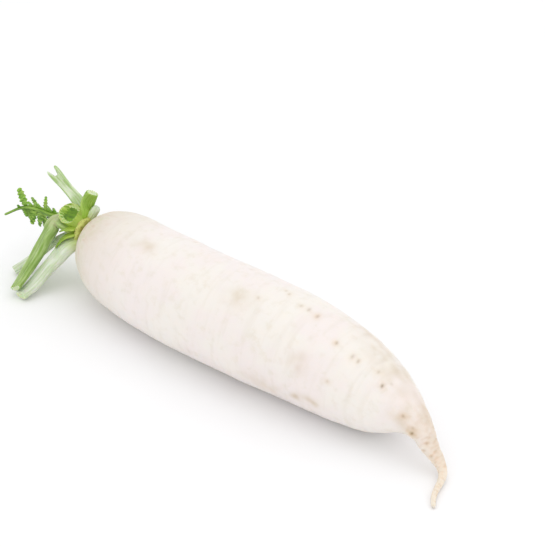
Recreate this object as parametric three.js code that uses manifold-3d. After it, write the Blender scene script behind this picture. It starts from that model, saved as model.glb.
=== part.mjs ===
// A daikon radish lying on its side: the swollen white root with its thin tail, the crown that it
// grew from, and the cut and broken leaf stalks that are left on the crown.
// Millimetres, +Z up. +X runs from the crown to the tail, and the surface it lies on is z = 0.

import * as THREE from 'three';
import { mergeVertices } from 'three/addons/utils/BufferGeometryUtils.js';
import Module from 'manifold-3d';

const wasm = await Module();
wasm.setup();

// ---- driving dimensions ----

const ROOT_RADIUS = 34.6;      // thickest part of the root
const CROWN_END = -134;        // x where the root ends and the crown begins
const BELLY_FLAT = 0.6;        // how far the underside is flattened where the root rests
const CROWN_RADIUS = 11;
const CROWN_HEIGHT = 8;
const GAP = 0.3;               // left between pieces that touch
const STALK_CORNERS = 14;      // points round a leaf stalk's section
const UP = new THREE.Vector3(0, 0, 1);

// ---- bending: straight shapes carried along a curve ----

// A point and three directions at share t of a curve. Past the ends the curve runs on straight.
function frameAt(curve, t, upward) {
  const inside = THREE.MathUtils.clamp(t, 0, 1);
  const along = curve.getTangent(inside);
  const up = upward.clone().addScaledVector(along, -upward.dot(along)).normalize();
  const side = new THREE.Vector3().crossVectors(up, along);
  const point = curve.getPoint(inside).addScaledVector(along, (t - inside) * curve.getLength());
  return { point, side, up, along };
}

// Carries a straight shape, which lies along Z from 0 to 1, on to the curve. scaleAt(t) widens it.
function bendAlong(geometry, curve, upward = UP, scaleAt = () => 1) {
  const position = geometry.attributes.position;
  const place = new THREE.Vector3();
  for (let i = 0; i < position.count; i++) {
    place.fromBufferAttribute(position, i);
    const { point, side, up } = frameAt(curve, place.z, upward);
    const scale = scaleAt(THREE.MathUtils.clamp(place.z, 0, 1));
    point.addScaledVector(side, place.x * scale).addScaledVector(up, place.y * scale);
    position.setXYZ(i, point.x, point.y, point.z);
  }
  geometry.computeVertexNormals();
  return geometry;
}

// A turned shape with its axis along Z. Its profile is a list of radius and height pairs.
function turned(profile, segments) {
  const points = profile.map(([radius, height]) => new THREE.Vector2(radius, height));
  return new THREE.LatheGeometry(points, segments).rotateX(Math.PI / 2);
}

// ---- joining and cutting ----

function toSolid(geometry) {
  const bare = geometry.clone();
  bare.deleteAttribute('normal');
  bare.deleteAttribute('uv');
  const merged = mergeVertices(bare, 1e-4);
  const corners = [];
  const index = merged.index.array;
  for (let i = 0; i < index.length; i += 3) {
    const [a, b, c] = [index[i], index[i + 1], index[i + 2]];
    if (a !== b && b !== c && c !== a) {
      corners.push(a, b, c);
    }
  }
  const vertProperties = new Float32Array(merged.attributes.position.array);
  return new wasm.Manifold(new wasm.Mesh({
    numProp: 3, vertProperties, triVerts: new Uint32Array(corners),
  }));
}

function toGeometry(solid) {
  const { vertProperties, triVerts } = solid.getMesh();
  const geometry = new THREE.BufferGeometry();
  geometry.setAttribute('position', new THREE.BufferAttribute(vertProperties, 3));
  geometry.setIndex(new THREE.BufferAttribute(triVerts, 1));
  return geometry;
}

// The largest body of a solid: a cut can leave loose slivers, which are dropped.
function largestBody(solid) {
  return solid.decompose().sort((a, b) => b.volume() - a.volume())[0];
}

const daikon = new THREE.Group();
const clearances = [];   // the pieces made so far, each a gap larger all round

function addPiece(name, geometry, material) {
  const mesh = new THREE.Mesh(geometry, material);
  mesh.name = name;
  daikon.add(mesh);
}

// Adds a piece that grows on the crown, cut back to a small gap from the pieces made before it.
function addGrown(name, makeSolid, material) {
  let solid = makeSolid(0);
  for (const clearance of clearances) {
    solid = solid.subtract(clearance);
  }
  clearances.push(makeSolid(GAP));
  addPiece(name, toGeometry(largestBody(solid)), material);
}

// ---- materials ----

const plantSurface = (color, roughness) => new THREE.MeshStandardMaterial({
  color, roughness, metalness: 0,
});
const whiteSkin = plantSurface('#f3ece3', 0.45);
const crownTissue = plantSurface('#8f8a45', 0.6);
const paleStalk = plantSurface('#c9d4bb', 0.5);
const greenStalk = plantSurface('#99b370', 0.5);
const brightStalk = plantSurface('#84a93a', 0.5);
const leafGreen = plantSurface('#7ba046', 0.55);

// ---- root: one grown piece, from the blunt shoulder to the tip of the tail ----

// Distance along, sideways bow, height of the underside and radius, from the crown to the tip.
const REST = -BELLY_FLAT;
const rootStations = [
  [CROWN_END, 3.3, 29.7, 9.4],
  [CROWN_END + 4, 3.4, 23.4, 15],
  [CROWN_END + 12, 3.1, 14.2, 23],
  [CROWN_END + 22, 2.7, 7, 28.6],
  [CROWN_END + 36, 1.6, 1.5, 32.5],
  [-79, -0.4, REST, 33.9],
  [-45, -2.4, REST, 34.4],
  [-10, -1.8, REST, ROOT_RADIUS],
  [25, 0.6, REST, 34.3],
  [58, 3.1, REST, 33.2],
  [85, 3.9, REST + 0.3, 30.6],
  [103, 3.8, 0.8, 27.9],
  [117, 3.2, 2.8, 24.6],
  [130, 2, 7.5, 20],
  [144, 0.2, 13.8, 13.3],
  [156, -1.6, 15.2, 8],
  [163.5, -2.4, 9.4, 5.6],
  [169.8, -2.9, 5.5, 4],
  [175.4, -4.8, 2.3, 2.9],
  [179, -10.5, 1.2, 2.2],
  [181.5, -18.5, 0.8, 1.8],
  [184.7, -25.5, 0.5, 1.6],
  [189.3, -31.2, 0.3, 1.2],
];
const RINGS_PER_STATION = 3;
const ROOT_SEGMENTS = 36;

const rootLine = new THREE.CatmullRomCurve3(
  rootStations.map(([x, y, rise, radius]) => new THREE.Vector3(x, y, rise + radius)),
  false, 'catmullrom');
const rootRadii = new THREE.CatmullRomCurve3(
  rootStations.map(([, , , radius]) => new THREE.Vector3(radius, 0, 0)),
  false, 'catmullrom');

// grow makes it larger all round, for cutting its neighbours back.
function makeRoot(grow) {
  const rings = (rootStations.length - 1) * RINGS_PER_STATION;
  const overrun = grow / rootLine.getLength();
  const profile = [[0, -overrun]];
  for (let ring = 0; ring <= rings; ring++) {
    const t = ring / rings;
    profile.push([rootRadii.getPoint(t).x + grow, THREE.MathUtils.lerp(-overrun, 1 + overrun, t)]);
  }
  profile.push([0, 1 + overrun]);
  const geometry = bendAlong(turned(profile, ROOT_SEGMENTS), rootLine);
  const position = geometry.attributes.position;
  for (let i = 0; i < position.count; i++) {
    position.setZ(i, Math.max(position.getZ(i), -grow));
  }
  return geometry;
}

addPiece('root', makeRoot(0), whiteSkin);
clearances.push(toSolid(makeRoot(GAP)));

// ---- crown: the short domed stem on the end of the root ----

const CROWN_SEGMENTS = 28;
const CROWN_ROWS = 7;
const CROWN_TOP_SHARE = 0.35;   // width of the flat top against the base

function makeCrown(grow) {
  const start = frameAt(rootLine, 0, UP);
  const base = start.point.clone().addScaledVector(start.along, grow - GAP);
  const top = base.clone().addScaledVector(start.along, -(CROWN_HEIGHT + 2 * grow));
  const profile = [[0, 0]];
  for (let row = 0; row <= CROWN_ROWS; row++) {
    const turn = row / CROWN_ROWS * Math.PI / 2;
    const share = CROWN_TOP_SHARE + (1 - CROWN_TOP_SHARE) * Math.cos(turn);
    profile.push([CROWN_RADIUS * share + grow, Math.sin(turn)]);
  }
  profile.push([0, 1]);
  return bendAlong(turned(profile, CROWN_SEGMENTS), new THREE.LineCurve3(base, top));
}

addPiece('crown', makeCrown(0), crownTissue);
clearances.push(toSolid(makeCrown(GAP)));

// ---- leaf stalks: rounded below and channelled above ----

function stalkSection(width, thickness, groove) {
  const points = [];
  for (let corner = 0; corner < STALK_CORNERS; corner++) {
    const turn = corner / STALK_CORNERS * 2 * Math.PI;
    const across = Math.cos(turn);
    const channel = Math.sin(turn) > 0 ? groove * (1 - across * across) ** 2 : 0;
    points.push(new THREE.Vector2(
      width / 2 * across, thickness / 2 * Math.sin(turn) - channel));
  }
  return new THREE.Shape(points);
}

const curveThrough = (points) => new THREE.CatmullRomCurve3(
  points.map((point) => new THREE.Vector3(...point)));

// A stalk along a curve. endScale is its width at the far end against its width at the crown.
function stalk({ curve, width, thickness, groove, endScale = 1, upward = UP, steps = 10 }, grow) {
  const shape = stalkSection(width + 2 * grow, thickness + 2 * grow, groove);
  const straight = new THREE.ExtrudeGeometry(shape, { depth: 1, steps, bevelEnabled: false });
  const scaleAt = (t) => THREE.MathUtils.lerp(1, endScale, t);
  return toSolid(bendAlong(straight, curve, upward, scaleAt));
}

// The stalk that is bent over at an elbow and hangs down to the surface.
const foldedStalk = {
  curve: curveThrough([
    [-139, -1, 41], [-150, -2, 43.5], [-158.5, -3.5, 43], [-161.5, -10, 34],
    [-162.5, -20, 22], [-161, -33, 13], [-156, -47, 9]]),
  width: 12, thickness: 7.2, groove: 1.4, endScale: 0.8, steps: 16,
  upward: new THREE.Vector3(-0.45, -0.5, 0.75),
};
addGrown('folded_leaf_stalk', (grow) => stalk(foldedStalk, grow), greenStalk);

// The broad pale stalk that lies lowest and touches the surface with its cut end.
const paleLeafStalk = {
  curve: curveThrough([
    [-137, -3, 36], [-141.5, -9.5, 32], [-146, -17, 23.5], [-150.5, -26, 13.5],
    [-152, -36, 6.2], [-152, -46, 3.6]]),
  width: 13.6, thickness: 8, groove: 0.8, endScale: 0.78, steps: 12,
  upward: new THREE.Vector3(-0.2, -0.5, 0.85),
};
addGrown('pale_leaf_stalk', (grow) => stalk(paleLeafStalk, grow), paleStalk);

// The short stalk that is broken open: its channel is cut out from the end.
const hollowStub = {
  curve: curveThrough([
    [-138, 2.5, 45.5], [-144, 0, 49.5], [-150, -2, 51.5], [-157, -3.4, 52]]),
  width: 13, thickness: 7.6, groove: 1, endScale: 1.05, steps: 6,
  upward: new THREE.Vector3(0.3, -0.6, 0.75),
};
const HOLLOW_WALL = 1.6;
const HOLLOW_START = 0.3;   // share of the stub's length that stays solid

function makeHollowStub(grow) {
  const outside = stalk(hollowStub, grow);
  if (grow > 0) {
    return outside;
  }
  const { curve, width, thickness, upward } = hollowStub;
  const shape = stalkSection(width - 2 * HOLLOW_WALL, thickness, 0);
  const straight = new THREE.ExtrudeGeometry(shape, { depth: 1, steps: 3, bevelEnabled: false });
  straight.scale(1, 1, 1.1 - HOLLOW_START).translate(0, HOLLOW_WALL, HOLLOW_START);
  return outside.subtract(toSolid(bendAlong(straight, curve, upward)));
}

addGrown('hollow_leaf_stub', makeHollowStub, brightStalk);

// The rising stalk whose end is split in two prongs.
const splitStalk = {
  curve: curveThrough([[-138, 8, 45], [-150, 10, 54], [-163, 10.5, 61], [-178, 10.5, 69]]),
  width: 8.6, thickness: 5.6, groove: 0.9, endScale: 1.12, steps: 8,
  upward: new THREE.Vector3(0.4, -0.5, 0.75),
};
const SPLIT_START = 0.8;   // share of the stalk's length where the split begins
const SPLIT_HALF_WIDTH = 1.9;

function makeSplitStalk(grow) {
  const whole = stalk(splitStalk, grow);
  if (grow > 0) {
    return whole;
  }
  const { curve, thickness, upward } = splitStalk;
  const wedge = new THREE.Shape([
    new THREE.Vector2(0, -SPLIT_START),
    new THREE.Vector2(-SPLIT_HALF_WIDTH, -1.05),
    new THREE.Vector2(SPLIT_HALF_WIDTH, -1.05),
  ]);
  const straight = new THREE.ExtrudeGeometry(wedge, {
    depth: 2 * thickness, steps: 1, bevelEnabled: false,
  });
  straight.translate(0, 0, -thickness).rotateX(-Math.PI / 2);
  return whole.subtract(toSolid(bendAlong(straight, curve, upward)));
}

addGrown('split_leaf_stalk', makeSplitStalk, paleStalk);

// The thick stub that stands up and leans back over the shoulder.
const thickStub = {
  curve: curveThrough([[-137.5, 6, 46], [-141, 8.5, 53.5], [-138, 12, 65]]),
  width: 9, thickness: 7.2, groove: 0.5, steps: 6,
  upward: new THREE.Vector3(1, -0.6, 0),
};
addGrown('thick_leaf_stub', (grow) => stalk(thickStub, grow), greenStalk);

// The stalk behind the folded one, which reaches the surface further out.
const rearStalk = {
  curve: curveThrough([
    [-138, 2, 37], [-148, 0, 34], [-160, -3, 26.5], [-171, -9.5, 15], [-177, -18, 7.4],
    [-181, -27.5, 3]]),
  width: 7.6, thickness: 6, groove: 0.6, endScale: 0.95, steps: 12,
};
addGrown('rear_leaf_stalk', (grow) => stalk(rearStalk, grow), paleStalk);

// The small rounded bud on the far side of the crown.
const bud = {
  curve: curveThrough([[-137.5, 6, 44], [-135.5, 8, 50], [-133, 10.5, 55.5]]),
  width: 8, thickness: 6.4, groove: 0, endScale: 0.72, steps: 5,
};
addGrown('leaf_bud', (grow) => stalk(bud, grow), paleStalk);

// ---- torn leaf: a thin midrib with the stumps of its leaflets, one grown piece ----

const midrib = {
  curve: curveThrough([
    [-139, 6, 41], [-150, 7, 41], [-160, 5, 40.5], [-172, 2, 39.8], [-188, 1, 39],
    [-198, -1.5, 36.5], [-209, -10, 30]]),
  width: 4.4, thickness: 3.6, groove: 0.4, endScale: 0.35, steps: 12,
};
const LEAFLET_THICKNESS = 1;
const LEAFLET_ROOT = 0.8;   // how deep a leaflet's foot sits in the midrib

// Share along the midrib, side (1 up, -1 down), length and width of each leaflet.
const leaflets = [
  [0.4, 1, 6, 4.5], [0.42, -1, 12, 6.5], [0.47, 1, 7, 4.5], [0.485, -1, 13, 6.5],
  [0.53, 1, 11, 4.5], [0.55, -1, 14, 6.5], [0.585, 1, 6, 4.2], [0.61, -1, 14, 6.5],
  [0.63, 1, 12, 4.5], [0.665, -1, 14, 6.5], [0.69, 1, 7, 4.5], [0.715, -1, 13, 6.5],
  [0.76, 1, 20, 6.5], [0.77, -1, 11, 5], [0.83, 1, 5, 3.2],
];

function leafletOutline(length, width) {
  const outline = new THREE.Shape();
  outline.moveTo(-width * 0.22, -LEAFLET_ROOT);
  outline.lineTo(width * 0.22, -LEAFLET_ROOT);
  outline.quadraticCurveTo(width * 0.6, length * 0.45, width * 0.35, length * 0.72);
  outline.lineTo(width * 0.1, length);
  outline.lineTo(-width * 0.2, length * 0.86);
  outline.quadraticCurveTo(-width * 0.65, length * 0.5, -width * 0.22, -LEAFLET_ROOT);
  return outline;
}

function makeLeaflet([share, side, length, width]) {
  const shape = leafletOutline(length, width);
  const plate = new THREE.ExtrudeGeometry(shape, {
    depth: LEAFLET_THICKNESS, steps: 1, curveSegments: 2, bevelEnabled: false,
  });
  plate.translate(0, 0, -LEAFLET_THICKNESS / 2);
  const { point, up, along } = frameAt(midrib.curve, share, UP);
  const outward = up.multiplyScalar(side).addScaledVector(along, 0.2).normalize();
  const facing = new THREE.Vector3().crossVectors(along, outward).normalize();
  const across = new THREE.Vector3().crossVectors(outward, facing);
  plate.applyMatrix4(new THREE.Matrix4().makeBasis(across, outward, facing).setPosition(point));
  return toSolid(plate);
}

function makeTornLeaf(grow) {
  let leaf = stalk(midrib, grow);
  if (grow === 0) {
    for (const leaflet of leaflets) {
      leaf = leaf.add(makeLeaflet(leaflet));
    }
  }
  return leaf;
}

addGrown('torn_leaf', makeTornLeaf, leafGreen);

// ---- leaf scales: two small pointed leaves that stayed short ----

const upperScale = {
  curve: curveThrough([[-138.5, -4, 44], [-143.5, -8, 43.5], [-149, -11, 40]]),
  width: 7, thickness: 2.4, groove: 0.3, endScale: 0.3, steps: 5,
};
addGrown('upper_leaf_scale', (grow) => stalk(upperScale, grow), brightStalk);

const lowerScale = {
  curve: curveThrough([[-138, -5, 41], [-144, -11, 37.5], [-148, -16.5, 29.5]]),
  width: 7, thickness: 2.8, groove: 0.3, endScale: 0.3, steps: 5,
};
addGrown('lower_leaf_scale', (grow) => stalk(lowerScale, grow), brightStalk);

export default daikon;
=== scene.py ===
import math

import bmesh
import bpy
import numpy as np
from mathutils import Matrix, Vector, noise


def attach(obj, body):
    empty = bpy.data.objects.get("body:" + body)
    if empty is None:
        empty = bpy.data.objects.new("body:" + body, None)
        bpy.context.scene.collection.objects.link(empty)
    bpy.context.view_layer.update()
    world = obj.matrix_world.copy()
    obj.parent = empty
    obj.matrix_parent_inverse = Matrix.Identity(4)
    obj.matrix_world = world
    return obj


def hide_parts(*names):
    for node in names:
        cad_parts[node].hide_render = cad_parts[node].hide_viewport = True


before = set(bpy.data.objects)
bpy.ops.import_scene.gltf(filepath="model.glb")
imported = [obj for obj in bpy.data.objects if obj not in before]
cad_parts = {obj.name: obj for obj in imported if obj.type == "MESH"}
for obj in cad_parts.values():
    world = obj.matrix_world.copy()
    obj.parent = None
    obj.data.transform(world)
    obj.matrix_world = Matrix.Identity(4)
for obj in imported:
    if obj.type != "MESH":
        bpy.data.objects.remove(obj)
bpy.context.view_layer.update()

MM = 0.001   # this script works in metres, and its sizes are given in millimetres


# ---- camera -------------------------------------------------------------------------------
# It stands in front of the root and to the tail's side, looks down on it, and leaves room
# above and to the right of the radish, which lies in the lower left of the view.

CAMERA_AZIMUTH = math.radians(42.2)
CAMERA_TILT = math.radians(32)
CAMERA_DISTANCE = 1.1182
CAMERA_LENS = 105
LOOK_AT = Vector((-0.048, 0.0946, 0))

bpy.ops.object.camera_add()
camera = bpy.context.object
towards_camera = Vector((math.sin(CAMERA_AZIMUTH) * math.cos(CAMERA_TILT),
                         -math.cos(CAMERA_AZIMUTH) * math.cos(CAMERA_TILT),
                         math.sin(CAMERA_TILT)))
camera.location = LOOK_AT + towards_camera * CAMERA_DISTANCE
camera.rotation_euler = towards_camera.to_track_quat('Z', 'Y').to_euler()
camera.data.lens = CAMERA_LENS
bpy.context.scene.camera = camera


# ---- root ---------------------------------------------------------------------------------
# The swollen taproot, one grown piece from the blunt shoulder to the thin bent tail, lying
# free on the table. It is drawn out ring by ring as a straight rod, bent on to the root's own
# line, smoothed, and then sculpted: lumps, growth rings, the scars of side roots, wrinkles.

ROOT_SIDES = 56
ROOT_RING_SPACING = 3.4 * MM
BELLY_FLAT = 0.6    # mm pressed flat where the root rests
TAIL_START = 280    # mm along the root at which the thin tail begins
TAIL_FADE = 18      # mm over which the root turns into it

# Distance along, sideways bow, height of the underside and radius, crown to tail tip, in mm.
ROOT_STATIONS = [
    (-134, 3.3, 29.7, 9.4), (-130, 3.4, 23.4, 15), (-122, 3.1, 14.2, 23), (-112, 2.7, 7, 28.6),
    (-98, 1.6, 1.5, 32.5), (-79, -0.4, -BELLY_FLAT, 33.9), (-45, -2.4, -BELLY_FLAT, 34.4),
    (-10, -1.8, -BELLY_FLAT, 34.6), (25, 0.6, -BELLY_FLAT, 34.3), (58, 3.1, -BELLY_FLAT, 33.2),
    (85, 3.9, 0.3 - BELLY_FLAT, 30.6), (103, 3.8, 0.8, 27.9), (117, 3.2, 2.8, 24.6),
    (130, 2, 7.5, 20), (144, 0.2, 13.8, 13.3), (156, -1.6, 15.2, 8), (163.5, -2.4, 9.4, 5.6),
    (169.8, -2.9, 5.5, 4), (175.4, -4.8, 2.3, 2.9), (179, -10.5, 1.2, 2.2),
    (181.5, -18.5, 0.8, 1.8), (184.7, -25.5, 0.5, 1.6), (189.3, -31.2, 0.3, 1.2)]


def ring_stack(name, sides, rings, press=0.0):
    """Draws a closed straight piece out along +X. A ring is its place along X and its two
    half-widths. press is how far the top of the section is pressed in, as a channel."""
    bpy.ops.object.select_all(action='DESELECT')
    start, across, high = rings[0]
    bpy.ops.mesh.primitive_circle_add(vertices=sides, radius=1, fill_type='NGON',
                                      location=(start, 0, 0), rotation=(0, math.pi / 2, 0))
    bpy.ops.object.transform_apply(location=True, rotation=True, scale=True)
    piece = bpy.context.object
    piece.name = name
    bpy.ops.object.mode_set(mode='EDIT')
    bpy.ops.mesh.select_all(action='SELECT')
    bpy.ops.transform.resize(value=(1, across, high), center_override=(start, 0, 0))
    if press:
        press_channel(piece, across, press)
    for (x0, across0, high0), (x1, across1, high1) in zip(rings, rings[1:]):
        bpy.ops.mesh.extrude_region_move(TRANSFORM_OT_translate={"value": (x1 - x0, 0, 0)})
        bpy.ops.transform.resize(value=(1, across1 / across0, high1 / high0),
                                 center_override=(x1, 0, 0))
    return piece


def smooth_path(points, widths=None, facing=(0, 0, 1)):
    """A smooth curve through points in mm, with a width factor at each. What is bent on to it
    is turned so that its top faces the given way."""
    bpy.ops.object.select_all(action='DESELECT')
    bpy.ops.curve.primitive_bezier_curve_add()
    path = bpy.context.object
    path.data.dimensions = '3D'
    path.data.twist_mode = 'Z_UP'
    path.data.resolution_u = 24
    spline = path.data.splines[0]
    spline.bezier_points.add(len(points) - 2)
    spline.radius_interpolation = 'CARDINAL'
    places = [Vector(point) * MM for point in points]
    for i, knot in enumerate(spline.bezier_points):
        knot.co = places[i]
        knot.handle_left_type = knot.handle_right_type = 'AUTO'
        knot.radius = widths[i] if widths else 1
        ahead = (places[min(i + 1, len(places) - 1)] - places[max(i - 1, 0)]).normalized()
        level = Vector((0, 0, 1)) - ahead * ahead.z
        wanted = Vector(facing) - ahead * ahead.dot(facing)
        knot.tilt = math.atan2(level.cross(wanted).dot(ahead), level.dot(wanted))
    return path


def apply_modifier(piece, kind, **settings):
    bpy.context.view_layer.objects.active = piece
    modifier = piece.modifiers.new(kind, kind)
    for name, value in settings.items():
        setattr(modifier, name, value)
    bpy.ops.object.modifier_apply(modifier=modifier.name)


def read_points(piece, attribute=None):
    mesh = piece.data
    values = np.empty(len(mesh.vertices) * 3)
    if attribute:
        mesh.attributes[attribute].data.foreach_get("vector", values)
    else:
        mesh.vertices.foreach_get("co", values)
    return values.reshape(-1, 3)


def add_vectors(piece, name, values):
    attribute = piece.data.attributes.new(name, 'FLOAT_VECTOR', 'POINT')
    attribute.data.foreach_set("vector", values.ravel())


def add_mask(piece, name, values):
    mask = piece.data.attributes.new(name, 'FLOAT', 'POINT')
    mask.data.foreach_set("value", np.asarray(values, dtype=np.float32))


def bend_and_smooth(piece, path, levels=2):
    """Ends the edit of a straight piece, keeps its straight shape as an attribute, carries
    the piece on to the path, whose object is then removed, and smooths it."""
    bpy.ops.mesh.select_all(action='SELECT')
    bpy.ops.mesh.normals_make_consistent(inside=False)
    bpy.ops.object.mode_set(mode='OBJECT')
    add_vectors(piece, "straight", read_points(piece))
    apply_modifier(piece, 'CURVE', object=path, deform_axis='POS_X')
    bpy.data.objects.remove(path)
    apply_modifier(piece, 'SUBSURF', levels=levels, render_levels=levels)
    bpy.ops.object.select_all(action='DESELECT')
    piece.select_set(True)
    bpy.ops.object.shade_smooth()


def push_out(piece, depth):
    """Moves each point along its normal by its own depth, and keeps it above the table."""
    mesh = piece.data
    normals = np.empty(len(mesh.vertices) * 3)
    mesh.vertex_normals.foreach_get("vector", normals)
    points = read_points(piece) + normals.reshape(-1, 3) * np.asarray(depth)[:, None]
    points[:, 2] = np.maximum(points[:, 2], 0)
    mesh.vertices.foreach_set("co", points.ravel())
    mesh.update()


def field(points, scale, offset=0.0):
    """Smooth noise from -1 to 1 at each point, with its features about scale apart."""
    return np.array([noise.noise(Vector(p) / scale + Vector((offset, 0, 0))) for p in points])


root_path = smooth_path([(x, y, under + radius) for x, y, under, radius in ROOT_STATIONS],
                        widths=[radius for x, y, under, radius in ROOT_STATIONS])
root_length = root_path.data.splines[0].calc_length()
root_steps = round(root_length / ROOT_RING_SPACING)
root = ring_stack("root_skin", ROOT_SIDES,
                  [(root_length * k / root_steps, MM, MM) for k in range(root_steps + 1)])
bend_and_smooth(root, root_path)

# Distance along the root from the crown, in mm, angle round it, and its radius there.
straight = read_points(root, "straight")
along = straight[:, 0] / MM
around = np.arctan2(straight[:, 2], straight[:, 1])
line = np.array([(x, y, under + radius) for x, y, under, radius in ROOT_STATIONS])
station_along = np.concatenate([[0], np.cumsum(np.linalg.norm(np.diff(line, axis=0), axis=1))])
station_along *= root_length / MM / station_along[-1]
radius = np.interp(along, station_along, [station[3] for station in ROOT_STATIONS])
unbent = np.stack([along, radius * np.cos(around), radius * np.sin(around)], axis=1) * MM
tail = np.clip((along - TAIL_START) / TAIL_FADE, 0, 1)


def blob(place, angle, length, width):
    """1 at a place along the root and an angle round it, in degrees, falling off smoothly over
    a length along it and a width round it, in mm."""
    turn = np.angle(np.exp(1j * (around - math.radians(angle))))
    return np.exp(-(turn * radius / width) ** 2 - ((along - place) / length) ** 2)


broad = field(unbent, 42 * MM)
middling = field(unbent, 17 * MM, 7.3)
depth = (0.5 * broad + 0.2 * middling) * MM * np.clip(along / 16, 0, 1) * (1 - 0.75 * tail)

# Growth rings: shallow creases that run part of the way round.
RING_COUNT = 20
RING_WIDTH = 0.9
draw = np.random.default_rng(11)
for _ in range(RING_COUNT):
    place = draw.uniform(12, 285)
    reach = math.degrees(draw.uniform(0.3, 1.0))
    middle = draw.uniform(-180, 180)
    turn = np.degrees(np.angle(np.exp(1j * (around - math.radians(middle)))))
    wandering = along - place + draw.uniform(-2, 2) * middling + draw.uniform(-2, 2) * broad
    crease = np.exp(-(wandering / RING_WIDTH) ** 2 - (turn / reach) ** 2)
    depth -= draw.uniform(0.015, 0.05) * MM * crease * (1 - tail)

# Scars of side roots: a short slit across the root with a lip on its crown side. For each, its
# place along in mm, angle round in degrees, half-width in mm, depth in mm, and how tan its
# surround is. They stand in two opposite rows that turn slowly round the root.
SCARS = [
    (94, 64, 2.2, 0.25, 0.2), (146, 72, 0.9, 0.2, 0.2), (168, 109, 1.0, 0.3, 0.3),
    (177.5, 83, 1.1, 0.3, 0.3), (181, 86, 1.3, 0.4, 0.3), (192.8, 93, 1.2, 0.3, 0.4),
    (198, 92, 1.6, 0.5, 0.4), (205, 94, 1.6, 0.45, 0.9), (226.7, 109, 1.2, 0.45, 0.9),
    (235, 154, 0.9, 0.2, 0.5), (239.6, 111, 1.6, 0.4, 0.5), (244, 111, 1.4, 0.5, 0.5),
    (259.8, 103, 1.3, 0.3, 0.6), (266.6, 117, 1.3, 0.9, 0.8), (269.5, 102, 0.9, 0.25, 0.6),
    (283.6, 143, 1.0, 0.45, 0.8), (292, 176, 1.6, 0.9, 0.9), (290.5, 150, 1.0, 0.25, 0.8),
    (300.5, 138, 1.0, 0.3, 0.8), (130, -157, 1.8, 0.2, 0.3), (309, 162, 0.9, 0.3, 0.7)]
HIDDEN_SCARS = 22
SLIT_LENGTH = 0.8
LIP_LENGTH = 0.9
LIP_DISTANCE = 1.7
HALO_LENGTH = 2.8
for _ in range(HIDDEN_SCARS):
    place = draw.uniform(120, 296)
    row = np.interp(place, [140, 175, 240, 278, 290], [255, 262, 290, 325, 350])
    SCARS.append((place, row + draw.normal(0, 12), draw.uniform(0.8, 1.7),
                  draw.uniform(0.25, 0.9), draw.uniform(0.2, 1)))
pit = np.zeros(len(along))
halo = np.zeros(len(along))
for place, angle, half_width, deep, tan in SCARS:
    slit = blob(place, angle, SLIT_LENGTH, half_width)
    lip = blob(place - LIP_DISTANCE, angle, LIP_LENGTH, half_width * 1.3)
    depth += (-deep * slit + 0.3 * deep * lip) * MM
    pit = np.maximum(pit, slit * min(0.62, 0.06 + 0.6 * deep))
    halo = np.maximum(halo, tan * blob(place, angle, HALO_LENGTH, half_width * 2.2))

# The tail shrinks as it dries, in wrinkles across it, which are shallower where it is thin.
WRINKLE_DEPTH = 0.5
WRINKLE_SPACING = 3.6
packed = np.stack([unbent[:, 0] * 2.4, unbent[:, 1], unbent[:, 2]], axis=1)
wrinkle = field(packed, WRINKLE_SPACING * MM, 3.1)
depth += tail * np.clip(radius / 6, 0.3, 1) * WRINKLE_DEPTH * MM * wrinkle
push_out(root, depth)

# Bruised, earthy and painted-shade patches: place, angle, length, width in mm, and strength.
PATCHES_AND_SHADE = [
    (75, 109, 8, 5, 0.7), (157, 119, 9, 7, 0.45), (213, 152, 5.5, 5.5, 0.85),
    (215.5, -164, 4, 3.5, 1.0), (225, -168, 8, 4, 0.85), (190, -158, 16, 7, 0.5),
    # The bands at angles 60 to 70 are partly tan and partly painted shade on the upper back side.
    (258, 70, 24, 12, 0.65), (236, 60, 18, 9, 0.5), (290, 62, 22, 6, 0.7), (284, 146, 8, 6, 0.6),
    (290, 160, 5, 5, 0.6), (22, 128, 9, 6, 0.35), (120, -30, 12, 10, 0.5),
    (195, -60, 10, 8, 0.6), (245, -20, 14, 9, 0.5)]
ragged = np.clip(0.75 + 0.8 * field(unbent, 6 * MM, 5.5), 0.1, 1.3)
patch_and_shade = np.zeros(len(along))
for place, angle, length, width, strength in PATCHES_AND_SHADE:
    patch_and_shade = np.maximum(patch_and_shade, strength * blob(place, angle, length, width) * ragged)
add_mask(root, "pit", pit)
add_mask(root, "halo", halo * np.clip(ragged, 0, 1))
add_mask(root, "patch_and_shade", patch_and_shade)
add_mask(root, "crease", np.clip(-wrinkle * 1.8, 0, 1) * tail)
add_vectors(root, "unbent", unbent)


def colour(hex_code):
    """An sRGB hex colour as the linear colour that a shader takes."""
    shares = [int(hex_code[i:i + 2], 16) / 255 for i in (1, 3, 5)]
    return [s / 12.92 if s <= 0.04045 else ((s + 0.055) / 1.055) ** 2.4 for s in shares] + [1]


def add_node(tree, kind, inputs=None, **settings):
    """Adds a node with its settings. Each input is given a value or linked to a socket."""
    made = tree.nodes.new(kind)
    for name, value in settings.items():
        setattr(made, name, value)
    for name, value in (inputs or {}).items():
        if isinstance(value, bpy.types.NodeSocket):
            tree.links.new(value, made.inputs[name])
        else:
            made.inputs[name].default_value = value
    return made


def new_material(name, **values):
    """A material whose shader takes the given values, by socket name with _ for a space."""
    material = bpy.data.materials.new(name)
    material.use_nodes = True
    shader = material.node_tree.nodes["Principled BSDF"]
    for socket, value in values.items():
        shader.inputs[socket.replace("_", " ")].default_value = value
    return material, material.node_tree, shader


def blend_colours(tree, share, first, second):
    """The first colour where share is 0 and the second where it is 1."""
    mix = add_node(tree, 'ShaderNodeMix', {0: share, 6: first, 7: second}, data_type='RGBA')
    return mix.outputs[2]


def ramped(tree, value, low, high, to_low=0.0, to_high=1.0):
    """A value taken smoothly from to_low at low to to_high at high."""
    made = add_node(tree, 'ShaderNodeMapRange',
                    {"Value": value, "From Min": low, "From Max": high,
                     "To Min": to_low, "To Max": to_high}, interpolation_type='SMOOTHSTEP')
    return made.outputs[0]


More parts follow.
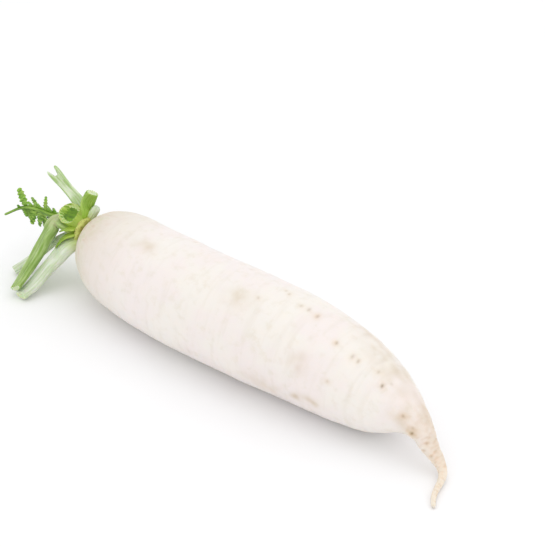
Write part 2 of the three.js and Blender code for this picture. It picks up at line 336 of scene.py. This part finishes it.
def combined(tree, operation, first, second):
    return add_node(tree, 'ShaderNodeMath', {0: first, 1: second}, operation=operation).outputs[0]


def cloud(tree, place, scale, detail=4, stretch=None, roughness=0.5):
    """Noise from about 0.25 to 0.75 at a place, which can first be stretched."""
    if stretch:
        place = add_node(tree, 'ShaderNodeMapping', {0: place, "Scale": stretch}).outputs[0]
    return add_node(tree, 'ShaderNodeTexNoise', {"Vector": place, "Scale": scale,
                                                 "Detail": detail,
                                                 "Roughness": roughness}).outputs[0]


def make_root_skin():
    """Washed daikon skin: thin, moist and slightly see-through over white flesh, so light
    spreads under it. It is beige at the shoulder and on the tail, and tan in its scars."""
    material, tree, shader = new_material(
        "washed_daikon_skin", IOR=1.4, Subsurface_Weight=0.6, Subsurface_Radius=(1.0, 0.85, 0.7),
        Subsurface_Scale=7 * MM, Coat_Weight=0.06, Coat_Roughness=0.3, Specular_IOR_Level=0.4)
    place, pit, halo, patch_and_shade, crease = [
        add_node(tree, 'ShaderNodeAttribute', attribute_name=name).outputs[output]
        for name, output in (("unbent", "Vector"), ("pit", "Fac"), ("halo", "Fac"),
                             ("patch_and_shade", "Fac"), ("crease", "Fac"))]
    distance = add_node(tree, 'ShaderNodeSeparateXYZ', {0: place}).outputs[0]
    broad = cloud(tree, place, 30)
    mottle = cloud(tree, place, 150, 5, roughness=0.6)
    bands = cloud(tree, place, 210, 4, stretch=(1, 0.14, 0.14))
    streaks = cloud(tree, place, 260, 3, stretch=(0.12, 1, 1))
    skin = blend_colours(tree, ramped(tree, broad, 0.4, 0.6),
                         colour("#ece7e1"), colour("#ece4e1"))
    skin = blend_colours(tree, ramped(tree, mottle, 0.48, 0.75, 0, 0.5),
                         skin, colour("#e0d8cb"))
    skin = blend_colours(tree, ramped(tree, bands, 0.5, 0.72, 0, 0.22),
                         skin, colour("#dcd4c8"))
    # The shoulder is beige, with green and brown streaks that come down from the leaves.
    skin = blend_colours(tree, ramped(tree, distance, 0.004, 0.085, 0.8, 0),
                         skin, colour("#d8cfc1"))
    green = combined(tree, 'MULTIPLY', ramped(tree, distance, 0.006, 0.036, 0.6, 0),
                     ramped(tree, streaks, 0.42, 0.7))
    skin = blend_colours(tree, green, skin, colour("#c2bf8e"))
    brown = combined(tree, 'MULTIPLY', ramped(tree, distance, 0.004, 0.042, 0.6, 0),
                     ramped(tree, streaks, 0.56, 0.32))
    skin = blend_colours(tree, brown, skin, colour("#c9af8c"))
    skin = blend_colours(tree, ramped(tree, distance, 0.002, 0.011, 0.85, 0),
                         skin, colour("#b3a366"))
    # The tail is beige, peach between its wrinkles and brown down in them.
    skin = blend_colours(tree, ramped(tree, distance, 0.27, 0.325, 0, 0.85),
                         skin, colour("#e1d3c2"))
    skin = blend_colours(tree, combined(tree, 'MULTIPLY', crease, 0.4), skin,
                         colour("#c6a67f"))
    # Tan of the patches; along the upper back near the tail it is partly painted shade.
    skin = blend_colours(tree, combined(tree, 'MULTIPLY', patch_and_shade, 0.55), skin, colour("#bfa67c"))
    skin = blend_colours(tree, combined(tree, 'MULTIPLY', halo, 0.45), skin, colour("#d2b17c"))
    skin = blend_colours(tree, pit, skin, colour("#8d7249"))
    tree.links.new(skin, shader.inputs["Base Color"])
    grain = cloud(tree, place, 900, 6, roughness=0.65)
    height = combined(tree, 'ADD', grain, cloud(tree, place, 330, 5, (1, 0.3, 0.3), 0.6))
    bump = add_node(tree, 'ShaderNodeBump', {"Height": height, "Strength": 0.22,
                                             "Distance": 0.6 * MM})
    tree.links.new(bump.outputs[0], shader.inputs["Normal"])
    tree.links.new(ramped(tree, mottle, 0.3, 0.7, 0.38, 0.52), shader.inputs["Roughness"])
    return material


root.data.materials.append(make_root_skin())
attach(root, "root")
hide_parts("root")


# ---- crown --------------------------------------------------------------------------------
# The short stem on the root's end, corky and olive brown, grown on the root and carrying the
# leaves. It is a low dome, ridged by the scars of leaves that have dropped.

CROWN_SIDES = 32
CROWN_LINE = [(-134.4, 3.3, 39.1), (-138.4, 3.2, 39.7), (-142.4, 3.1, 40.3)]
# Place along the stem and half-width of each ring, in mm.
CROWN_RINGS = [(-0.2, 9.6), (1, 11), (2.6, 11.3), (4.2, 10.2), (5.8, 8.2), (7.2, 5.8), (8, 3.4)]

crown_path = smooth_path(CROWN_LINE)
crown = ring_stack("crown_stem", CROWN_SIDES,
                   [(x * MM, wide * MM, wide * MM) for x, wide in CROWN_RINGS])
bend_and_smooth(crown, crown_path)
straight = read_points(crown, "straight")
turn = np.arctan2(straight[:, 2], straight[:, 1])
ridge = np.sin(turn * 9 + straight[:, 0] / MM * 0.9) * 0.28 + 0.5 * field(straight, 3.2 * MM)
push_out(crown, ridge * MM)


def make_crown_tissue():
    """Corky stem tissue: olive green, going brown and dull where old leaves broke away."""
    material, tree, shader = new_material("corky_crown_tissue", IOR=1.42)
    place = add_node(tree, 'ShaderNodeAttribute', attribute_name="straight").outputs["Vector"]
    patches = cloud(tree, place, 210, 5)
    specks = cloud(tree, place, 900)
    tissue = blend_colours(tree, ramped(tree, patches, 0.48, 0.66),
                           colour("#c0c86c"), colour("#c2b468"))
    tissue = blend_colours(tree, ramped(tree, specks, 0.54, 0.68, 0, 0.55),
                           tissue, colour("#8a7238"))
    tree.links.new(tissue, shader.inputs["Base Color"])
    bump = add_node(tree, 'ShaderNodeBump', {"Height": specks, "Strength": 0.5,
                                             "Distance": 0.5 * MM})
    tree.links.new(bump.outputs[0], shader.inputs["Normal"])
    tree.links.new(ramped(tree, patches, 0.3, 0.7, 0.55, 0.72), shader.inputs["Roughness"])
    return material


crown.data.materials.append(make_crown_tissue())
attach(crown, "root")
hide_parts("crown")


# ---- hanging leaf stalks ------------------------------------------------------------------
# Three juicy stalks, rounded and ribbed below and channelled above, each grown on the crown
# and cut off near the table. One is folded over at an elbow, where its skin is creased pale.

STALK_SIDES = 20
STALK_RING_SPACING = 3.2
RIB_COUNT = 15
FOLD_AT = 21         # mm along the folded stalk at which it is creased
FOLD_WIDTH = 1.1
BRUISE_LENGTH = 5


def press_channel(piece, half_width, depth):
    """Presses the top of the selected section down, most in its middle."""
    work = bmesh.from_edit_mesh(piece.data)
    for share in (0.75, 0.45):
        for vertex in work.verts:
            vertex.select = vertex.co.z > 0 and abs(vertex.co.y) < share * half_width
        work.select_flush_mode()
        bmesh.update_edit_mesh(piece.data)
        bpy.ops.transform.translate(value=(0, 0, -depth / 2))
    bpy.ops.mesh.select_all(action='SELECT')


def start_stalk(name, path, width, thickness, channel, skin, flesh, end=1.0):
    """A straight rod as long as the path, still in edit mode, with its end face selected."""
    length = path.data.splines[0].calc_length()
    steps = max(3, round(length / (STALK_RING_SPACING * MM)))
    rings = []
    for step in range(steps + 1):
        scale = (1 + (end - 1) * step / steps) * MM / 2
        rings.append((length * step / steps, width * scale, thickness * scale))
    stalk = ring_stack(name, STALK_SIDES, rings, channel * MM)
    stalk.data.materials.append(skin)
    stalk.data.materials.append(flesh)
    return stalk


def set_slot(number):
    """Gives the selected faces the material in that slot."""
    bpy.context.object.active_material_index = number
    bpy.ops.object.material_slot_assign()


def show_flesh(rim, sink):
    """Insets the selected end face: a rim of skin, and the flesh inside it, which is sunk a
    little in its middle."""
    bpy.ops.mesh.inset(thickness=rim * MM)
    set_slot(1)
    bpy.ops.mesh.inset(thickness=1.6 * rim * MM)
    bpy.ops.transform.translate(value=(-sink * MM, 0, 0))


def finish_stalk(stalk, path, node, ribs=0.16, crease_at=None):
    """Bends a stalk into place, raises its ribs, creases it, and sets it on the root's body."""
    bend_and_smooth(stalk, path)
    straight = read_points(stalk, "straight")
    turn = np.arctan2(straight[:, 2], straight[:, 1])
    depth = ribs * np.cos(turn * RIB_COUNT + 3 * field(straight, 30 * MM))
    depth += 0.35 * field(straight, 11 * MM, 4.4)
    if crease_at:
        wandering = straight[:, 0] / MM - crease_at + 1.5 * field(straight, 4 * MM)
        depth -= 0.9 * np.exp(-(wandering / FOLD_WIDTH) ** 2)
        add_mask(stalk, "bruise", np.exp(-(wandering / BRUISE_LENGTH) ** 2))
    push_out(stalk, depth * MM)
    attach(stalk, "root")
    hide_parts(node)


def make_stalk_skin(name, light, deep, base):
    """Waxy leaf-stalk skin: fine lengthwise streaks of a light and a deep green, another green
    where the stalk joins the crown, and beige where it is bruised."""
    material, tree, shader = new_material(
        name, IOR=1.42, Subsurface_Weight=0.25, Subsurface_Radius=(0.6, 1.0, 0.3),
        Subsurface_Scale=2 * MM, Coat_Weight=0.1, Coat_Roughness=0.35)
    place = add_node(tree, 'ShaderNodeAttribute', attribute_name="straight").outputs["Vector"]
    bruise = add_node(tree, 'ShaderNodeAttribute', attribute_name="bruise").outputs["Fac"]
    distance = add_node(tree, 'ShaderNodeSeparateXYZ', {0: place}).outputs[0]
    streaks = cloud(tree, place, 700, 4, stretch=(0.08, 1, 1))
    clouds = cloud(tree, place, 90)
    skin = blend_colours(tree, ramped(tree, streaks, 0.38, 0.64), colour(light), colour(deep))
    skin = blend_colours(tree, ramped(tree, clouds, 0.42, 0.66, 0, 0.6), skin, colour(deep))
    skin = blend_colours(tree, ramped(tree, distance, 0.002, 0.014, 0.7, 0), skin, colour(base))
    skin = blend_colours(tree, combined(tree, 'MULTIPLY', bruise, 0.6), skin, colour("#c3bf9b"))
    tree.links.new(skin, shader.inputs["Base Color"])
    bump = add_node(tree, 'ShaderNodeBump', {"Height": streaks, "Strength": 0.35,
                                             "Distance": 0.4 * MM})
    tree.links.new(bump.outputs[0], shader.inputs["Normal"])
    tree.links.new(ramped(tree, clouds, 0.3, 0.7, 0.38, 0.5), shader.inputs["Roughness"])
    return material


def make_cut_flesh(name, light, deep):
    """Cut stalk flesh: wet, pale green and spongy, dotted with the ends of its veins."""
    material, tree, shader = new_material(name, IOR=1.38, Subsurface_Weight=0.3,
                                          Subsurface_Scale=2 * MM)
    place = add_node(tree, 'ShaderNodeAttribute', attribute_name="straight").outputs["Vector"]
    flat = add_node(tree, 'ShaderNodeMapping', {0: place, "Scale": (0.1, 1, 1)}).outputs[0]
    veins = add_node(tree, 'ShaderNodeTexVoronoi', {"Vector": flat, "Scale": 620})
    sponge = cloud(tree, place, 1500, 3)
    flesh = blend_colours(tree, ramped(tree, sponge, 0.35, 0.65),
                          colour(light), colour(deep))
    flesh = blend_colours(tree, ramped(tree, veins.outputs["Distance"], 0.12, 0.3, 1, 0),
                          flesh, colour("#93b156"))
    tree.links.new(flesh, shader.inputs["Base Color"])
    bump = add_node(tree, 'ShaderNodeBump', {"Height": sponge, "Strength": 0.4,
                                             "Distance": 0.3 * MM})
    tree.links.new(bump.outputs[0], shader.inputs["Normal"])
    tree.links.new(ramped(tree, sponge, 0.3, 0.7, 0.3, 0.45), shader.inputs["Roughness"])
    return material


cut_flesh = make_cut_flesh("cut_stalk_flesh", "#dfe8c8", "#c5d8a2")
green_skin = make_stalk_skin("waxy_green_stalk", "#adc57e", "#7ea043", "#bccb66")
pale_skin = make_stalk_skin("waxy_pale_stalk", "#dce2d3", "#c1d0aa", "#b6c76a")

folded_path = smooth_path(
    [(-139, -1, 41), (-150, -2, 43.5), (-158.5, -3.5, 43), (-161.5, -10, 34),
     (-162.5, -20, 22), (-161, -33, 13), (-156, -47, 9)],
    widths=[1.3, 1.25, 1.3, 1.45, 1.32, 1.12, 0.9], facing=(-0.45, -0.5, 0.75))
folded = start_stalk("folded_stalk", folded_path, 10.5, 6.6, 1.8, green_skin, cut_flesh)
show_flesh(0.5, 0.3)
finish_stalk(folded, folded_path, "folded_leaf_stalk", crease_at=FOLD_AT)

pale_path = smooth_path(
    [(-137, -3, 36), (-141.5, -9.5, 32), (-146, -17, 23.5), (-150.5, -26, 13.5),
     (-152, -36, 6.2), (-152, -46, 3.7)],
    widths=[1.3, 1.4, 1.3, 1.15, 1.02, 0.9], facing=(-0.2, -0.5, 0.85))
pale = start_stalk("pale_stalk", pale_path, 11.4, 7.2, 0.9, pale_skin, cut_flesh)
show_flesh(0.5, 0.3)
finish_stalk(pale, pale_path, "pale_leaf_stalk", ribs=0.1)

rear_path = smooth_path(
    [(-138, 2, 37), (-148, 0, 34), (-160, -3, 26.5), (-171, -9.5, 15), (-177, -18, 7.4),
     (-181, -27.5, 3.2)], widths=[1.2, 1, 1, 1, 1, 0.95])
rear = start_stalk("rear_stalk", rear_path, 7.6, 6, 0.7, pale_skin, cut_flesh)
show_flesh(0.4, 0.3)
finish_stalk(rear, rear_path, "rear_leaf_stalk")


# ---- split stalk --------------------------------------------------------------------------
# A pale stalk that rises from the back of the crown, which it has grown on. Its torn end is
# split down the middle in two pointed prongs.

PRONG_LENGTH = 6.5
PRONG_SPREAD = 0.4
# Share of the prong's length, and the size of its section against the last, at each step.
PRONG_STEPS = [(0.45, 0.85), (0.35, 0.75), (0.2, 0.5)]

split_path = smooth_path([(-138, 8, 45), (-150, 10, 54), (-163, 10.5, 61), (-173, 10.5, 66.4)],
                         widths=[1.4, 1, 0.8, 0.98], facing=(0.4, -0.5, 0.75))
split_skin = make_stalk_skin("waxy_light_green_stalk", "#d6dfc4", "#9dba70", "#abc25c")
split = start_stalk("split_stalk", split_path, 9, 5.6, 1, split_skin, cut_flesh)


def draw_prongs(stalk, length, spread):
    """Divides the end face in two halves and a strip, and draws each half out to a point."""
    work = bmesh.from_edit_mesh(stalk.data)
    end = next(face for face in work.faces if face.select)
    corners = [loop.vert for loop in end.loops]
    first = corners.index(max(corners, key=lambda vertex: vertex.co.y))
    corners = corners[first:] + corners[:first]
    quarter = len(corners) // 4
    bmesh.utils.face_split(end, corners[quarter - 1], corners[3 * quarter + 1])
    rest = next(face for face in work.faces
                if corners[quarter + 1] in face.verts and corners[3 * quarter - 1] in face.verts)
    bmesh.utils.face_split(rest, corners[quarter + 1], corners[3 * quarter - 1])
    for side in (1, -1):
        work = bmesh.from_edit_mesh(stalk.data)
        work.faces.ensure_lookup_table()
        far = max(vertex.co.x for vertex in work.verts if abs(vertex.co.y) < 0.1 * spread)
        halves = [face for face in work.faces
                  if all(abs(vertex.co.x - far) < 1e-6 for vertex in face.verts)]
        half = max(halves, key=lambda face: side * face.calc_center_median().y)
        bpy.ops.mesh.select_all(action='DESELECT')
        half.select = True
        bmesh.update_edit_mesh(stalk.data)
        for share, shrink in PRONG_STEPS:
            bpy.ops.mesh.extrude_region_move(TRANSFORM_OT_translate={
                "value": (share * length, side * share * spread, 0)})
            bpy.ops.transform.resize(value=(1, shrink, shrink))


draw_prongs(split, PRONG_LENGTH * MM, PRONG_SPREAD * MM)
finish_stalk(split, split_path, "split_leaf_stalk")


# ---- hollow stub --------------------------------------------------------------------------
# A thick stalk broken off short and on a slant, so that it shows as a bright green trough
# with a pale broken rim. It is grown on the middle of the crown.

HOLLOW_WIDTH = 13
HOLLOW_THICKNESS = 7.2
HOLLOW_SLANT = 0.85    # share of its length by which the top of the stub is broken back
HOLLOW_DEPTH = 4
HOLLOW_RIM = 0.6

broken_rim = make_cut_flesh("broken_stalk_rim", "#c9da95", "#a6c163")
trough_skin = make_stalk_skin("moist_stalk_trough", "#6f9805", "#4a7000", "#6f9805")
bright_skin = make_stalk_skin("waxy_bright_stalk", "#9fbd42", "#6a9016", "#a3b948")
hollow_path = smooth_path(
    [(-138, 2.5, 45.5), (-144, 0, 49.5), (-150, -2, 51.5), (-158, -3.5, 52)],
    widths=[1.15, 1.2, 1.2, 1.05], facing=(0.3, -0.6, 0.75))
hollow = start_stalk("hollow_stub", hollow_path, HOLLOW_WIDTH, HOLLOW_THICKNESS, 1.2,
                     bright_skin, broken_rim)
work = bmesh.from_edit_mesh(hollow.data)
for vertex in work.verts:
    vertex.co.x *= 1 - HOLLOW_SLANT * (vertex.co.z / (HOLLOW_THICKNESS * MM) + 0.5)
bmesh.update_edit_mesh(hollow.data)
hollow.data.materials.append(trough_skin)
set_slot(1)
bpy.ops.mesh.inset(thickness=HOLLOW_RIM * MM)
set_slot(2)
bpy.ops.mesh.extrude_region_move(TRANSFORM_OT_translate={
    "value": (-0.45 * HOLLOW_DEPTH * MM, 0, -0.5 * HOLLOW_DEPTH * MM)})
bpy.ops.transform.resize(value=(0.95, 0.9, 0.9))
finish_stalk(hollow, hollow_path, "hollow_leaf_stub")


# ---- thick stub and bud -------------------------------------------------------------------
# A thick green stub, cut straight across, that stands up behind the shoulder, and beside it a
# small pale bud with a rounded end. Both are grown on the far side of the crown.

BUD_TIP = 1.2    # mm by which the bud's rounded end stands out past its sides

thick_path = smooth_path([(-137.5, 6, 46), (-141, 8.5, 53.5), (-138, 12, 65)],
                         widths=[1.3, 1.1, 1], facing=(1, -0.6, 0))
leafy_skin = make_stalk_skin("waxy_leafy_stalk", "#adc763", "#7ba22a", "#93b72c")
thick = start_stalk("thick_stub", thick_path, 9, 7.2, 0.6, leafy_skin, cut_flesh)
show_flesh(0.5, 0.3)
finish_stalk(thick, thick_path, "thick_leaf_stub")

bud_path = smooth_path([(-137.5, 6, 44), (-135.5, 8, 50), (-133, 10.5, 55.5)])
bud = start_stalk("pale_bud", bud_path, 8.2, 6.6, 0, pale_skin, cut_flesh, end=0.8)
bpy.ops.mesh.extrude_region_move(TRANSFORM_OT_translate={"value": (BUD_TIP * MM, 0, 0)})
bpy.ops.transform.resize(value=(1, 0.5, 0.5))
finish_stalk(bud, bud_path, "leaf_bud")


# ---- torn leaf ----------------------------------------------------------------------------
# A thin midrib with the stumps of its toothed leaflets, one grown leaf on the back of the
# crown. One leaflet is drawn and copied along the straight midrib, and the whole is then bent.

# Share along the midrib, side (1 up, -1 down), length and width in mm of each leaflet.
LEAFLETS = [
    (0.36, -1, 11, 7), (0.39, 1, 6, 5), (0.4, -1, 13, 8), (0.43, 1, 8, 5), (0.445, -1, 14, 8),
    (0.475, 1, 6, 4.5), (0.49, -1, 14, 8.5), (0.52, 1, 12, 5), (0.535, -1, 15, 8.5),
    (0.57, 1, 7, 4.5), (0.58, -1, 15, 9), (0.61, 1, 13, 5), (0.625, -1, 16, 9),
    (0.65, 1, 7, 4.5), (0.67, -1, 16, 9), (0.69, 1, 8, 5), (0.71, -1, 15, 8.5),
    (0.745, -1, 14, 7.5), (0.78, -1, 12, 6), (0.76, 1, 23, 8), (0.81, -1, 5, 3.5),
    (0.83, 1, 6, 3.5)]
LEAFLET_LEAN = 4       # degrees that a leaflet leans towards the tip
LEAFLET_TURN = 22      # most, in degrees, that one is turned or tipped out of the leaf's plane
LEAFLET_THICKNESS = 0.6
# Half-width of a leaflet, as a share of its widest, at even steps from its foot: the teeth.
LEAFLET_TEETH = [0.3, 0.35, 1.1, 0.3, 1.35, 0.35, 1.2, 0.3, 1.0, 0.25, 0.7, 0.1]

leaf_path = smooth_path(
    [(-139, 6, 41), (-150, 7, 41), (-160, 5, 40.5), (-172, 2, 39.8), (-188, 1, 39),
     (-198, -1.5, 36.5), (-209, -10, 30)], widths=[1.3, 1.2, 1.1, 1, 0.8, 0.6, 0.4])
leaf_length = leaf_path.data.splines[0].calc_length()
leaf_skin = make_stalk_skin("torn_leaf_blade", "#96b84a", "#4f7a06", "#9cb858")
leaf = start_stalk("torn_leaf_blade", leaf_path, 5, 4, 0.4, leaf_skin, cut_flesh)
bpy.ops.object.mode_set(mode='OBJECT')


def make_leaflet():
    """One toothed leaflet, 1 long and 1 wide, flat in X and Z, with its foot at the origin."""
    bpy.ops.object.select_all(action='DESELECT')
    bpy.ops.mesh.primitive_plane_add(size=1, rotation=(math.pi / 2, 0, 0))
    bpy.ops.object.transform_apply(location=True, rotation=True, scale=True)
    leaflet = bpy.context.object
    leaflet.data.materials.append(leaf_skin)
    leaflet.data.materials.append(cut_flesh)
    bpy.ops.object.mode_set(mode='EDIT')
    bpy.ops.mesh.select_all(action='SELECT')
    step = 1 / (len(LEAFLET_TEETH) - 1)
    bpy.ops.transform.resize(value=(LEAFLET_TEETH[0], 1, step))
    bpy.ops.transform.translate(value=(0, 0, step / 2))
    work = bmesh.from_edit_mesh(leaflet.data)
    for vertex in work.verts:
        vertex.select = vertex.co.z > step / 2
    work.select_flush_mode()
    bmesh.update_edit_mesh(leaflet.data)
    bpy.ops.transform.resize(value=(LEAFLET_TEETH[1] / LEAFLET_TEETH[0], 1, 1))
    for before, after in zip(LEAFLET_TEETH[1:], LEAFLET_TEETH[2:]):
        bpy.ops.mesh.extrude_region_move(TRANSFORM_OT_translate={"value": (0, 0, step)})
        bpy.ops.transform.resize(value=(after / before, 1, 1))
    bpy.ops.object.mode_set(mode='OBJECT')
    return leaflet


prototype = make_leaflet()
draw = np.random.default_rng(5)
leaflets = []
for share, side, length, width in LEAFLETS:
    leaflet = prototype.copy()
    leaflet.data = prototype.data.copy()
    bpy.context.collection.objects.link(leaflet)
    turn, tip = np.radians(draw.uniform(-LEAFLET_TURN, LEAFLET_TURN, 2))
    place = (Matrix.Translation((share * leaf_length, 0, 0))
             @ Matrix.Diagonal((1, 1, side, 1))
             @ Matrix.Rotation(tip, 4, 'X')
             @ Matrix.Rotation(math.radians(LEAFLET_LEAN), 4, 'Y')
             @ Matrix.Rotation(turn, 4, 'Z')
             @ Matrix.Diagonal((width * MM, 1, length * MM, 1)))
    leaflet.data.transform(place)
    apply_modifier(leaflet, 'SOLIDIFY', thickness=LEAFLET_THICKNESS * MM, offset=0)
    leaflets.append(leaflet)
bpy.data.objects.remove(prototype)
bpy.ops.object.select_all(action='DESELECT')
for piece in [leaf] + leaflets:
    piece.select_set(True)
bpy.context.view_layer.objects.active = leaf
bpy.ops.object.join()
bpy.ops.object.mode_set(mode='EDIT')
finish_stalk(leaf, leaf_path, "torn_leaf", ribs=0.05)


# ---- leaf scales --------------------------------------------------------------------------
# Two small pointed leaves that stayed short, bright green like the hollow stub's skin. They are
# grown on the crown at the foot of the stalks.

# Path, width and thickness of each, in mm.
LEAF_SCALES = {
    "upper": ([(-138.5, -4, 44), (-143.5, -8, 43.5), (-149, -11, 40)], 7.6, 2.4),
    "lower": ([(-138, -5, 41), (-144, -11, 37.5), (-148, -16.5, 29.5)], 7.4, 3)}

for where, (points, width, thickness) in LEAF_SCALES.items():
    scale_path = smooth_path(points, widths=[1.3, 1, 0.8])
    leaf_scale = start_stalk("leaf_scale_" + where, scale_path, width, thickness, 0.5,
                             bright_skin, cut_flesh, end=0.3)
    finish_stalk(leaf_scale, scale_path, where + "_leaf_scale", ribs=0.05)


# ---- floor and light ----------------------------------------------------------------------
# A plain white table under soft studio light: a pale surround on all sides, and three broad
# lamps, above, behind and in front, which lay a soft shadow before the root.

FLOOR_SIZE = 6
FLOOR_DROP = 0.2    # mm below the root, so that the two faces never lie in one plane
WORLD_LIGHT = 1.0
LAMP_SIZE = 1.0
LAMP_DISTANCE = 1.6
# Azimuth and height in degrees, and power in watts.
LAMPS = [(0, 88, 2.2), (142, 62, 1.2), (42, 30, 1.4)]

bpy.ops.object.select_all(action='DESELECT')
bpy.ops.mesh.primitive_plane_add(size=FLOOR_SIZE, location=(0, 0, -FLOOR_DROP * MM))
floor = bpy.context.object
floor.name = "floor"
floor_material, floor_tree, floor_shader = new_material(
    "matt_white_table", Roughness=0.9, Specular_IOR_Level=0.2)
fine = add_node(floor_tree, 'ShaderNodeTexNoise', {"Scale": 60, "Detail": 3})
floor_tree.links.new(blend_colours(floor_tree, fine.outputs[0], colour("#f4f4f5"),
                                   colour("#f7f7f8")), floor_shader.inputs["Base Color"])
floor.data.materials.append(floor_material)

world = bpy.data.worlds.new("studio")
world.use_nodes = True
world.node_tree.nodes["Background"].inputs[0].default_value = colour("#ffffff")
world.node_tree.nodes["Background"].inputs[1].default_value = WORLD_LIGHT
bpy.context.scene.world = world

for azimuth, height, power in LAMPS:
    azimuth = math.radians(azimuth)
    height = math.radians(height)
    towards_lamp = Vector((math.sin(azimuth) * math.cos(height),
                           -math.cos(azimuth) * math.cos(height), math.sin(height)))
    bpy.ops.object.light_add(type='AREA', location=towards_lamp * LAMP_DISTANCE)
    lamp = bpy.context.object
    lamp.data.shape = 'DISK'
    lamp.data.size = LAMP_SIZE
    lamp.data.energy = power
    lamp.rotation_euler = towards_lamp.to_track_quat('Z', 'Y').to_euler()

bpy.context.scene.view_settings.view_transform = 'Standard'
